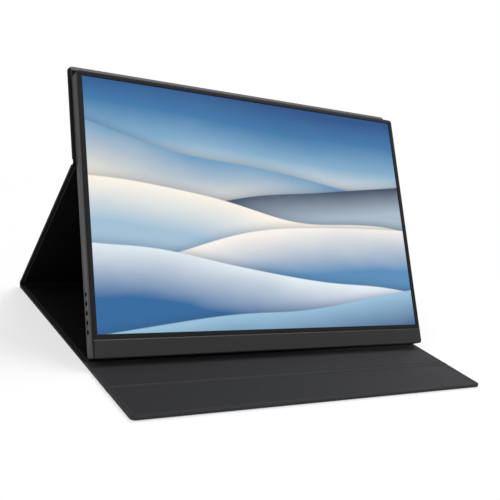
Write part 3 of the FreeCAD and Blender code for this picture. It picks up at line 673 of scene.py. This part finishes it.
# Finishes of the pieces inside: record slot to colour, roughness, metal share and grain scale.
INNER = {
    "cover_board": (tone(158, 147, 128), 0.85, 0.0, 700.0),
    "magnet": (tone(186, 187, 190), 0.3, 1.0, 900.0),
    "film": (tone(236, 237, 236), 0.45, 0.0, 500.0),
    "lamp": (tone(238, 232, 205), 0.35, 0.0, 800.0),
    "sheet_steel": (tone(178, 179, 181), 0.34, 1.0, 1400.0),
    "circuit_board": (tone(28, 92, 56), 0.4, 0.0, 1100.0),
    "chip": (tone(34, 34, 35), 0.5, 0.0, 2200.0),
    "flex": (tone(150, 110, 48), 0.38, 0.0, 900.0),
}


def inner_finish(slot):
    """A plain mottled finish for a piece inside."""
    colour, roughness, metal, grain = INNER[slot]
    finish = Finish("inner_" + slot, {"Metallic": metal})
    place = finish.object_place()
    fleck = finish.noise(place, grain, 3.0)
    finish.paint("Base Color", finish.mottled(fleck, colour, 0.82, 1.12))
    finish.paint("Roughness", roughness + 0.2 * (fleck - 0.5))
    finish.relief(fleck, distance=0.02 * MM, strength=0.2)
    return finish


MAKERS = {
    "skin": (skin_finish, "cover_sizes"),
    "lining": (lining_finish, "cover_sizes"),
    "black_lining": (painted_shade_lining_finish, "cover_sizes"),
    "housing": (housing_finish, "monitor_sizes"),
    "bezel": (bezel_finish, "monitor_sizes"),
    "chin": (chin_finish, "monitor_sizes"),
    "button": (button_finish, "monitor_sizes"),
    "screen": (screen_finish, "monitor_sizes"),
}
made_finishes = {}


def finish_named(name):
    """A finish of the outside, made once."""
    if name not in made_finishes:
        maker, sizes = MAKERS[name]
        scene = bpy.context.scene
        made_finishes[name] = maker(scene.monitor_colours, getattr(scene, sizes))
    return made_finishes[name]


def dress(node, finish):
    """Give a carried-over piece its finish."""
    materials = frame["nodes"][node].data.materials
    materials.clear()
    materials.append(finish.material)


def make_piece(bm, name, finish, stands_for, body=None):
    """Turn a finished mesh into a piece of the object."""
    if not bm.faces:
        raise RuntimeError(f"{name} has no faces")
    mesh = bpy.data.meshes.new(name)
    bm.to_mesh(mesh)
    bm.free()
    mesh.materials.append(finish_named(finish).material)
    mesh.shade_smooth()
    mesh.set_sharp_from_angle(angle=SMOOTH)
    piece = bpy.data.objects.new(name, mesh)
    bpy.context.scene.collection.objects.link(piece)
    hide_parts(*stands_for)
    if body is not None:
        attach(piece, body)
    return piece


def verts_of(geom):
    """The points among what an operator made."""
    return [item for item in geom if isinstance(item, bmesh.types.BMVert)]


def edges_of(geom):
    """The edges among what an operator made."""
    return [item for item in geom if isinstance(item, bmesh.types.BMEdge)]


def bevel(bm, chosen, width, segments, affect="EDGES"):
    """Round edges, or the corners of an outline."""
    if not chosen:
        raise RuntimeError("nothing to round")
    bmesh.ops.bevel(
        bm,
        geom=chosen,
        offset=width,
        offset_type="OFFSET",
        segments=segments,
        profile=0.5,
        affect=affect,
        material=-1,
        clamp_overlap=True,
    )


def is_sharp(edge):
    """Whether two faces meet at a marked angle."""
    return len(edge.link_faces) == 2 and edge.calc_face_angle(0.0) > SHARP


def remember_place(bm):
    """Keep where each point lies on the flat panel."""
    layer = bm.verts.layers.float_vector.new("flat")
    for vert in bm.verts:
        vert[layer] = vert.co


def mark_faces(bm, chosen, name="rub"):
    """Mark how far each face takes a finish's second colour, which is painted light and shade except on the
    bezel's grey side, or its polish.
    """
    layer = bm.faces.layers.float.new(name)
    for face in bm.faces:
        face[layer] = float(chosen(face))


def plate(half, start, end, low, high, free=None, corner=0.0):
    """A flat plate, with two rounded corners where it has a free end."""
    bm = bmesh.new()
    outline = ((-half, start), (half, start), (half, end), (-half, end))
    corners = [bm.verts.new((x, y, low)) for x, y in outline]
    bm.faces.new(corners)
    if free is not None:
        bevel(bm, corners[:2] if free == "start" else corners[2:], corner, CORNER_STEPS, "VERTICES")
    grown = bmesh.ops.extrude_face_region(bm, geom=list(bm.faces), use_keep_orig=True)
    raised = verts_of(grown["geom"])
    bmesh.ops.translate(bm, verts=raised, vec=(0.0, 0.0, high - low))
    bmesh.ops.recalc_face_normals(bm, faces=list(bm.faces))
    return bm


def bisect(bm, y):
    """Cut a panel's mesh across, to part its faces there."""
    geom = list(bm.verts) + list(bm.edges) + list(bm.faces)
    bmesh.ops.bisect_plane(bm, geom=geom, dist=FINE_WELD, plane_co=(0.0, y, 0.0), plane_no=(0.0, 1.0, 0.0))


def face_at(bm, height):
    """The large level face at a height."""
    level = [face for face in bm.faces if abs(face.normal.z) > LEVEL_LEAN]
    there = [face for face in level if abs(face.calc_center_median().z - height) < NEAR]
    return max(there, key=lambda face: face.calc_area())


def press_line(bm, face, sizes, inset):
    """A fine pressed line all round a face."""
    steps = ((inset, 0.0), (sizes.line_width, -sizes.line_depth), (sizes.line_width, sizes.line_depth))
    for width, depth in steps:
        bmesh.ops.inset_region(bm, faces=[face], thickness=width, depth=depth, use_even_offset=True)


class PM_OT_cover_skins(bpy.types.Operator):
    """Make the outer skin of each cover panel, with its turned rim"""

    bl_idname = "portable_monitor.cover_skins"
    bl_label = "Cover skins"

    def execute(self, context):
        sizes = context.scene.cover_sizes
        for name, (place, start, end, free, body) in PANELS.items():
            bm = plate(HALF_COVER, start, end, 0.0, PANEL_THICK, free, sizes.corner)
            press_line(bm, face_at(bm, 0.0), sizes, sizes.line_inset + sizes.edge_round)
            top = face_at(bm, PANEL_THICK)
            for width in (sizes.rim_width - sizes.tape, sizes.tape):
                bmesh.ops.inset_region(bm, faces=[top], thickness=width, depth=0.0, use_even_offset=True)
            if free is not None:
                self.square_corners(bm, top, start if free == "start" else end, sizes)
            folds = [y for y, side in ((start, "start"), (end, "end")) if side != free]
            self.narrow_lips(bm, folds, sizes)
            sunk = bmesh.ops.extrude_face_region(bm, geom=[top, *top.edges])
            lowered = verts_of(sunk["geom"])
            bmesh.ops.translate(bm, verts=lowered, vec=(0.0, 0.0, sizes.floor - PANEL_THICK))
            self.round_rim(bm, folds, sizes)
            if name == "base":
                bisect(bm, HEEL.y)
            remember_place(bm)
            bm.normal_update()
            # Painted light and shade on rims and edges: lighter at the front, darker at the rear, a highlight on
            # the upper edge.
            mark_faces(bm, lambda face: self.painted_light_share(face, name, sizes))
            mark_faces(bm, lambda face: face.normal.z < -PANEL_LEAN, "polish")
            bm.transform(place)
            make_piece(bm, f"{name}_cover_skin", "skin", [f"{name}_skin"], body)
        return {"FINISHED"}

    @staticmethod
    def square_corners(bm, top, free_y, sizes):
        """Gather the recess's free corners into square ones."""
        inset = sizes.rim_width if free_y < 0.0 else -sizes.rim_width
        for side in (-1.0, 1.0):
            corner = Vector((side * (HALF_COVER - sizes.rim_width), free_y + inset, PANEL_THICK))
            reach = sizes.corner - sizes.rim_width + NEAR
            near = [vert for vert in top.verts if (vert.co - corner).length < reach]
            bmesh.ops.pointmerge(bm, verts=near, merge_co=corner)

    @staticmethod
    def narrow_lips(bm, folds, sizes):
        """Draw the rim in to a narrow lip along each fold."""
        for vert in bm.verts:
            for fold in folds:
                off = vert.co.y - fold
                if vert.co.z > PANEL_THICK - NEAR and abs(off) < sizes.rim_width + NEAR:
                    vert.co.y = fold + off * sizes.lip / sizes.rim_width

    @staticmethod
    def painted_light_share(face, name, sizes):
        """How light the skin is painted: dark outside, a rim with a light line along the lining, lit at the front,
        shaded at the rear, highlighted on the upper edge.
        """
        _, start, end, free, _ = PANELS[name]
        middle = face.calc_center_median()
        if face.normal.z < -PANEL_LEAN:
            return 0.0
        from_side = HALF_COVER - abs(middle.x)
        from_end = {"start": middle.y - start, "end": end - middle.y}.get(free, from_side)
        inset = min(from_side, from_end)
        front = name == "flap" or (name == "base" and middle.y < HEEL.y)
        upper = name == "back" and from_end < from_side
        side, edge, rim, tape = FRONT_LIT_SHARES if front else UPPER_HIGHLIGHT_SHARES if upper else REAR_SHADED_SHARES
        if face.normal.z < PANEL_LEAN:
            return side
        if inset < sizes.edge_round:
            return edge
        return rim if inset < sizes.rim_width - sizes.tape else tape

    @staticmethod
    def round_rim(bm, folds, sizes):
        """Round the rim's edges, but leave them plain where a fold carries the skin on."""

        def at_fold(edge):
            level_run = abs(edge.verts[0].co.y - edge.verts[1].co.y) < sizes.lip
            reach = 2.0 * sizes.lip
            return level_run and any(abs(v.co.y - fold) < reach for v in edge.verts for fold in folds)

        def level(edge, height):
            return all(abs(vert.co.z - height) < NEAR for vert in edge.verts)

        def at_recess(edge):
            return any(abs(v.co.z - sizes.floor) < NEAR for face in edge.link_faces for v in face.verts)

        bm.normal_update()
        rim = [edge for edge in bm.edges if is_sharp(edge) and (level(edge, 0.0) or level(edge, PANEL_THICK))]
        rim = [edge for edge in rim if not at_fold(edge)]
        inner = [edge for edge in rim if at_recess(edge)]
        bevel(bm, [edge for edge in rim if edge not in inner], sizes.edge_round, EDGE_STEPS)
        bevel(bm, [edge for edge in inner if edge.is_valid], sizes.lining_round, FINE_STEPS)


class PM_OT_cover_linings(bpy.types.Operator):
    """Make the ribbed lining of each cover panel, with the groove under the monitor's heel"""

    bl_idname = "portable_monitor.cover_linings"
    bl_label = "Cover linings"

    def execute(self, context):
        sizes = context.scene.cover_sizes
        inset = sizes.rim_width + sizes.lining_gap
        high = PANEL_THICK - sizes.lining_sink
        for name, (place, start, end, free, body) in PANELS.items():
            first = start + (inset if free == "start" else sizes.lip)
            last = end - (inset if free == "end" else sizes.lip)
            seam = HEEL.y - sizes.heel_half
            # Behind the heel, and on the strut and the back panel, the lining takes the painted shade finish.
            runs = {
                "flap": (("flap", first, last, "lining"),),
                "base": (("base_front", first, seam, "lining"), ("base_rear", seam, last, "black_lining")),
            }
            for run, near_end, far_end, finish in runs.get(name, ((name, first, last, "black_lining"),)):
                bm = plate(HALF_COVER - inset, near_end, far_end, high - sizes.lining_thick, high)
                self.round_sides(bm, high, sizes)
                if run == "base_rear":
                    self.press_heel(bm, high, sizes)
                remember_place(bm)
                bm.transform(place)
                make_piece(bm, f"{run}_cover_lining", finish, [f"{name}_lining"], body)
        return {"FINISHED"}

    @staticmethod
    def round_sides(bm, high, sizes):
        """Round the lining's edges along the cover's sides."""

        def along_side(edge):
            first, second = (vert.co for vert in edge.verts)
            at_top = all(abs(place.z - high) < NEAR for place in (first, second))
            return at_top and abs(first.x - second.x) < NEAR

        bm.normal_update()
        sides = [edge for edge in bm.edges if is_sharp(edge) and along_side(edge)]
        bevel(bm, sides, sizes.lining_round, FINE_STEPS)

    @staticmethod
    def press_heel(bm, high, sizes):
        """Press the groove that the monitor's heel stands in."""
        for step in range(1 - GROOVE_CUTS, GROOVE_CUTS + 1):
            bisect(bm, HEEL.y + step * sizes.heel_half / GROOVE_CUTS)
        for vert in bm.verts:
            reach = (vert.co.y - HEEL.y) / sizes.heel_half
            if abs(reach) < 1.0 and vert.co.z > high - 2.0 * sizes.line_depth:
                vert.co.z -= sizes.heel_depth * (1.0 - reach * reach)


def strip_edge(bm, y, z):
    """An edge across the whole cover, from which a fold is drawn."""
    ends = [bm.verts.new((side * HALF_COVER, y, z)) for side in (-1.0, 1.0)]
    return [bm.edges.new(ends)]


def drawn(bm, edges, step, cuts=1):
    """Draw edges out into a flat strip and return its last edge."""
    for _ in range(cuts):
        grown = bmesh.ops.extrude_edge_only(bm, edges=edges)
        verts = verts_of(grown["geom"])
        edges = [edge for edge in edges_of(grown["geom"]) if set(edge.verts) == set(verts)]
        bmesh.ops.translate(bm, verts=verts, vec=step / cuts)
    return edges


def bent(bm, edges, centre, angle, steps):
    """Turn edges about an axis across the cover and return the last edge."""
    geom = edges + [vert for edge in edges for vert in edge.verts]
    turned = bmesh.ops.spin(
        bm,
        geom=geom,
        cent=centre,
        axis=ACROSS,
        angle=angle,
        steps=steps,
        use_merge=False,
        use_duplicate=False,
    )
    return edges_of(turned["geom_last"])


def thickened(bm, move):
    """Give a strip its thickness by copying it and moving the copy."""
    bmesh.ops.remove_doubles(bm, verts=list(bm.verts), dist=FINE_WELD)
    grown = bmesh.ops.extrude_face_region(bm, geom=list(bm.faces), use_keep_orig=True)
    move(verts_of(grown["geom"]))
    bmesh.ops.recalc_face_normals(bm, faces=list(bm.faces))
    remember_place(bm)


class PM_OT_cover_folds(bpy.types.Operator):
    """Make the three soft folds of the cover"""

    bl_idname = "portable_monitor.cover_folds"
    bl_label = "Cover folds"

    def execute(self, context):
        self.rear_fold()
        self.upper_fold()
        self.crease()
        return {"FINISHED"}

    @staticmethod
    def rear_fold():
        """The round fold on the table, from the base to the strut."""
        bm = bmesh.new()
        bent(bm, strip_edge(bm, REAR.y, 0.0), REAR, math.pi - STRUT_ANGLE, REAR_STEPS)
        share = (BEND_RADIUS - BEND_THICK) / BEND_RADIUS
        to_axis = Matrix.Translation(-REAR)
        thickened(bm, lambda verts: bmesh.ops.scale(bm, vec=(1.0, share, share), space=to_axis, verts=verts))
        bm.normal_update()
        mark_faces(bm, lambda face: face.normal.dot(face.calc_center_median() - REAR) > 0.0, "polish")
        piece = make_piece(bm, "rear_fold", "skin", ["rear_fold_web"])
        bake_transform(piece)

    @staticmethod
    def upper_fold():
        """The fold behind the monitor, from the strut to the back panel."""
        turn = STRUT_ALONG.angle(UP)
        straight = UPPER_GAP - UPPER_RADIUS * math.tan(turn / 2)
        inner = ACROSS.cross(STRUT_ALONG) * (WEB_THICK / 2)
        first = FOLD - STRUT_ALONG * UPPER_GAP + inner
        bm = bmesh.new()
        edges = strip_edge(bm, first.y, first.z)
        edges = drawn(bm, edges, STRUT_ALONG * straight, UPPER_CUTS)
        reach = UPPER_RADIUS + WEB_THICK / 2
        centre = first + STRUT_ALONG * straight - ACROSS.cross(STRUT_ALONG) * reach
        edges = bent(bm, edges, centre, -turn, UPPER_STEPS)
        drawn(bm, edges, UP * straight, UPPER_CUTS)

        def inward(verts):
            for vert in verts:
                lower = (vert.co - centre).dot(STRUT_ALONG) < 0.0
                upper = (vert.co - centre).dot(UP) > 0.0
                if lower:
                    vert.co -= ACROSS.cross(STRUT_ALONG) * WEB_THICK
                elif upper:
                    vert.co -= ACROSS.cross(UP) * WEB_THICK
                else:
                    away = vert.co - centre
                    away.x = 0.0
                    vert.co -= away.normalized() * WEB_THICK

        thickened(bm, inward)
        inside = ACROSS.cross(STRUT_ALONG) + ACROSS.cross(UP)
        bm.normal_update()
        mark_faces(bm, lambda face: face.normal.dot(inside) < -FOLD_LEAN, "polish")
        piece = make_piece(bm, "upper_fold", "skin", ["upper_fold_web"])
        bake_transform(piece)

    @staticmethod
    def crease():
        """The pressed crease between the base and the flap."""
        bm = bmesh.new()
        sizes = bpy.context.scene.cover_sizes
        edges = strip_edge(bm, CREASE.y - CREASE_GAP, PANEL_THICK - sizes.lining_sink)
        drawn(bm, edges, Vector((0.0, 2.0 * CREASE_GAP, 0.0)), CREASE_CUTS)

        def swelling(y):
            return math.exp(-(((y - CREASE.y) / sizes.bead_half) ** 2))

        for vert in bm.verts:
            vert.co.z += sizes.bead_height * swelling(vert.co.y)

        def under(verts):
            for vert in verts:
                vert.co.z = CREASE_FLOOR

        thickened(bm, under)
        # Painted highlight along the crease's bead, strongest where the bead swells.
        mark_faces(bm, lambda face: CREASE_HIGHLIGHT_SHARE * swelling(face.calc_center_median().y))
        piece = make_piece(bm, "front_crease", "lining", ["crease_web"])
        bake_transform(piece)


def round_chosen(bm, chosen, width, segments):
    """Round the sharp edges that are chosen by where they lie on the monitor."""
    bm.normal_update()
    edges = []
    for edge in bm.edges:
        if is_sharp(edge) and chosen(*(FROM_MONITOR @ vert.co for vert in edge.verts)):
            edges.append(edge)
    bevel(bm, edges, width, segments)


def softened(node, chosen, width, segments):
    """A copy of a carried-over piece with some of its sharp edges rounded."""
    bm = bmesh.new()
    bm.from_mesh(frame["nodes"][node].data)
    bmesh.ops.remove_doubles(bm, verts=list(bm.verts), dist=WELD)
    bmesh.ops.dissolve_limit(bm, angle_limit=FLAT, verts=list(bm.verts), edges=list(bm.edges))
    round_chosen(bm, chosen, width, segments)
    return bm


def on_outline(point, sizes):
    """Whether a point of the monitor lies on its outer side walls, seen from the front."""
    inside_x = abs(point.x) < HALF_BODY - sizes.wall + NEAR
    inside_y = sizes.wall - NEAR < point.y < sizes.height - sizes.wall + NEAR
    return not (inside_x and inside_y)


class PM_OT_monitor_shell(bpy.types.Operator):
    """Make the monitor's housing and bezel, with rounded seams, and finish the chin strip"""

    bl_idname = "portable_monitor.monitor_shell"
    bl_label = "Monitor shell"

    def execute(self, context):
        sizes = context.scene.monitor_sizes
        middles = [FROM_MONITOR @ (sum(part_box(name), Vector()) / 2) for name in BUTTONS]

        def near_button(place):
            reach = min(math.hypot(place.y - m.y, place.z - m.z) for m in middles)
            return place.x < sizes.wall - HALF_BODY + NEAR and reach < sizes.hole_shade_reach

        def on_seam(*ends):
            return all(abs(p.z - sizes.housing_depth) < NEAR and on_outline(p, sizes) for p in ends)

        def housing_edge(*ends):
            rims = all(HALF_BODY - abs(p.x) < NEAR and not near_button(p) for p in ends)
            return rims or on_seam(*ends)

        def button_rim(*ends):
            return all(HALF_BODY - abs(p.x) < NEAR and near_button(p) for p in ends)

        def bezel_edge(*ends):
            return all(abs(p.z - sizes.depth) < NEAR for p in ends) or on_seam(*ends)

        def painted_shade_in_hole(face):
            place = FROM_MONITOR @ face.calc_center_median()
            return face.normal.x > -WALL_LEAN and near_button(place)

        def painted_shade_underside(face):
            return face.normal.dot(UP) < -UNDER_LEAN

        def on_side(face):
            place = FROM_MONITOR @ face.calc_center_median()
            return on_outline(place, sizes) and abs(face.normal.x) > BEZEL_LEAN

        bm = softened("rear_housing", housing_edge, sizes.seam_round, FINE_STEPS)
        round_chosen(bm, button_rim, sizes.hole_round, FINE_STEPS)
        bm.normal_update()
        # Painted shade: the inside of each button hole and the underside take the buttons' black.
        mark_faces(bm, lambda face: painted_shade_in_hole(face) or painted_shade_underside(face))
        make_piece(bm, "monitor_housing", "housing", ["rear_housing"], "monitor")
        bm = softened("front_bezel", bezel_edge, sizes.seam_round, BEZEL_STEPS)
        bm.normal_update()
        mark_faces(bm, on_side)
        make_piece(bm, "screen_bezel", "bezel", ["front_bezel"], "monitor")
        dress("chin_strip", finish_named("chin"))
        return {"FINISHED"}


class PM_OT_monitor_screen(bpy.types.Operator):
    """Light the display"""

    bl_idname = "portable_monitor.monitor_screen"
    bl_label = "Screen"

    def execute(self, context):
        dress("lcd_cell", finish_named("screen"))
        return {"FINISHED"}


class PM_OT_side_buttons(bpy.types.Operator):
    """Make the five side buttons, with rounded caps"""

    bl_idname = "portable_monitor.side_buttons"
    bl_label = "Side buttons"

    def execute(self, context):
        sizes = context.scene.monitor_sizes
        for name in BUTTONS:
            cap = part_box(name)[0].x
            bm = softened(name, lambda a, b: max(a.x, b.x) < cap + NEAR, sizes.button_round, EDGE_STEPS)
            make_piece(bm, f"{name}_cap", "button", [name], name)
        return {"FINISHED"}


class PM_OT_inner_works(bpy.types.Operator):
    """Finish the pieces inside the monitor and the cover"""

    bl_idname = "portable_monitor.inner_works"
    bl_label = "Inner works"

    def execute(self, context):
        finishes = {slot: inner_finish(slot) for slot in INNER}
        for row in frame["record"]["subparts"]:
            if row["material_slot"] in finishes:
                dress(row["node"], finishes[row["material_slot"]])
        return {"FINISHED"}


class PM_OT_studio_stage(bpy.types.Operator):
    """Set up the floor, the light and the camera"""

    bl_idname = "portable_monitor.studio_stage"
    bl_label = "Studio stage"

    def execute(self, context):
        scene = context.scene
        stage = scene.stage_settings
        scene.view_settings.view_transform = "Standard"
        self.lay_floor(scene, stage)
        self.light_world(scene, stage)
        for name, place, aim, size, power in LAMPS:
            lamp = bpy.data.lights.new(name, "AREA")
            lamp.size = size
            lamp.energy = getattr(stage, power)
            holder = bpy.data.objects.new(name, lamp)
            holder.location = place
            holder.rotation_euler = (Vector(aim) - Vector(place)).to_track_quat("-Z", "Y").to_euler()
            scene.collection.objects.link(holder)
        self.set_camera(scene, stage)
        return {"FINISHED"}

    @staticmethod
    def lay_floor(scene, stage):
        """A pale floor that keeps the object's shadow."""
        bm = bmesh.new()
        bmesh.ops.create_grid(bm, x_segments=2, y_segments=2, size=FLOOR_HALF)
        bmesh.ops.translate(bm, verts=list(bm.verts), vec=(0.0, 0.0, -FLOOR_DROP))
        mesh = bpy.data.meshes.new("floor")
        bm.to_mesh(mesh)
        bm.free()
        finish = Finish("pale_floor", {"Base Color": FLOOR_COLOUR, "Roughness": 0.9})
        glow = finish.node("ShaderNodeEmission", {}, {"Color": WHITE, "Strength": 1.0})
        plain = Signal(finish, finish.surface.outputs[0])
        x, y, _ = finish.parts(finish.object_place())
        away = (((x * x + y * y) - stage.reach ** 2) / (3.0 * stage.reach ** 2)).limited()
        share = finish.seen() * (stage.glow + (1.0 - stage.glow) * away)
        both = finish.node("ShaderNodeMixShader", {}, {0: share, 1: plain, 2: glow})
        finish.feed(finish.tree.nodes["Material Output"].inputs["Surface"], both)
        mesh.materials.append(finish.material)
        floor = bpy.data.objects.new("floor", mesh)
        scene.collection.objects.link(floor)

    @staticmethod
    def light_world(scene, stage):
        """Even light from all round, white where it is seen."""
        world = bpy.data.worlds.new("studio")
        world.use_nodes = True
        scene.world = world
        shading = Shading(world.node_tree)
        background = world.node_tree.nodes["Background"]
        background.inputs["Color"].default_value = WHITE
        strength = stage.ambient + (1.0 - stage.ambient) * shading.seen()
        shading.feed(background.inputs["Strength"], strength)

    @staticmethod
    def set_camera(scene, stage):
        """The camera at the photographed view."""
        flat = Vector((math.sin(stage.yaw), math.cos(stage.yaw), 0.0))
        ahead = flat * math.cos(stage.pitch) - Vector((0.0, 0.0, math.sin(stage.pitch)))
        level = Vector((math.cos(stage.yaw), -math.sin(stage.yaw), 0.0))
        above = level.cross(ahead)
        right = math.cos(stage.roll) * level + math.sin(stage.roll) * above
        top = math.cos(stage.roll) * above - math.sin(stage.roll) * level
        camera = bpy.data.cameras.new("camera")
        camera.lens = stage.lens
        camera.sensor_width = FILM_WIDTH
        camera.clip_start = CLIP_START
        holder = bpy.data.objects.new("camera", camera)
        turn = Matrix((right, top, -ahead)).transposed().to_4x4()
        holder.matrix_world = Matrix.Translation(Vector(stage.place)) @ turn
        scene.collection.objects.link(holder)
        scene.camera = holder


GROUPS = {
    "cover_sizes": CoverSizes,
    "monitor_sizes": MonitorSizes,
    "monitor_colours": Colours,
    "stage_settings": StageSettings,
}
STEPS = (
    PM_OT_cover_skins,
    PM_OT_cover_linings,
    PM_OT_cover_folds,
    PM_OT_monitor_shell,
    PM_OT_monitor_screen,
    PM_OT_side_buttons,
    PM_OT_inner_works,
    PM_OT_studio_stage,
)


class PM_PT_sidebar(bpy.types.Panel):
    """Lists the steps that dress the monitor"""

    bl_idname = "PM_PT_sidebar"
    bl_label = "Portable monitor"
    bl_space_type = "VIEW_3D"
    bl_region_type = "UI"
    bl_category = "Monitor"

    def draw(self, context):
        for step in STEPS:
            self.layout.operator(step.bl_idname)


def register():
    """Add the classes and their settings."""
    for name, group in GROUPS.items():
        bpy.utils.register_class(group)
        setattr(bpy.types.Scene, name, bpy.props.PointerProperty(type=group))
    for step in STEPS:
        bpy.utils.register_class(step)
    bpy.utils.register_class(PM_PT_sidebar)


def unregister():
    """Remove the classes and their settings."""
    bpy.utils.unregister_class(PM_PT_sidebar)
    for step in reversed(STEPS):
        bpy.utils.unregister_class(step)
    for name, group in reversed(list(GROUPS.items())):
        delattr(bpy.types.Scene, name)
        bpy.utils.unregister_class(group)


def main():
    """Build the whole scene."""
    register()
    bpy.ops.portable_monitor.cover_skins()
    bpy.ops.portable_monitor.cover_linings()
    bpy.ops.portable_monitor.cover_folds()
    bpy.ops.portable_monitor.monitor_shell()
    bpy.ops.portable_monitor.monitor_screen()
    bpy.ops.portable_monitor.side_buttons()
    bpy.ops.portable_monitor.inner_works()
    bpy.ops.portable_monitor.studio_stage()


if __name__ == "__main__":
    main()
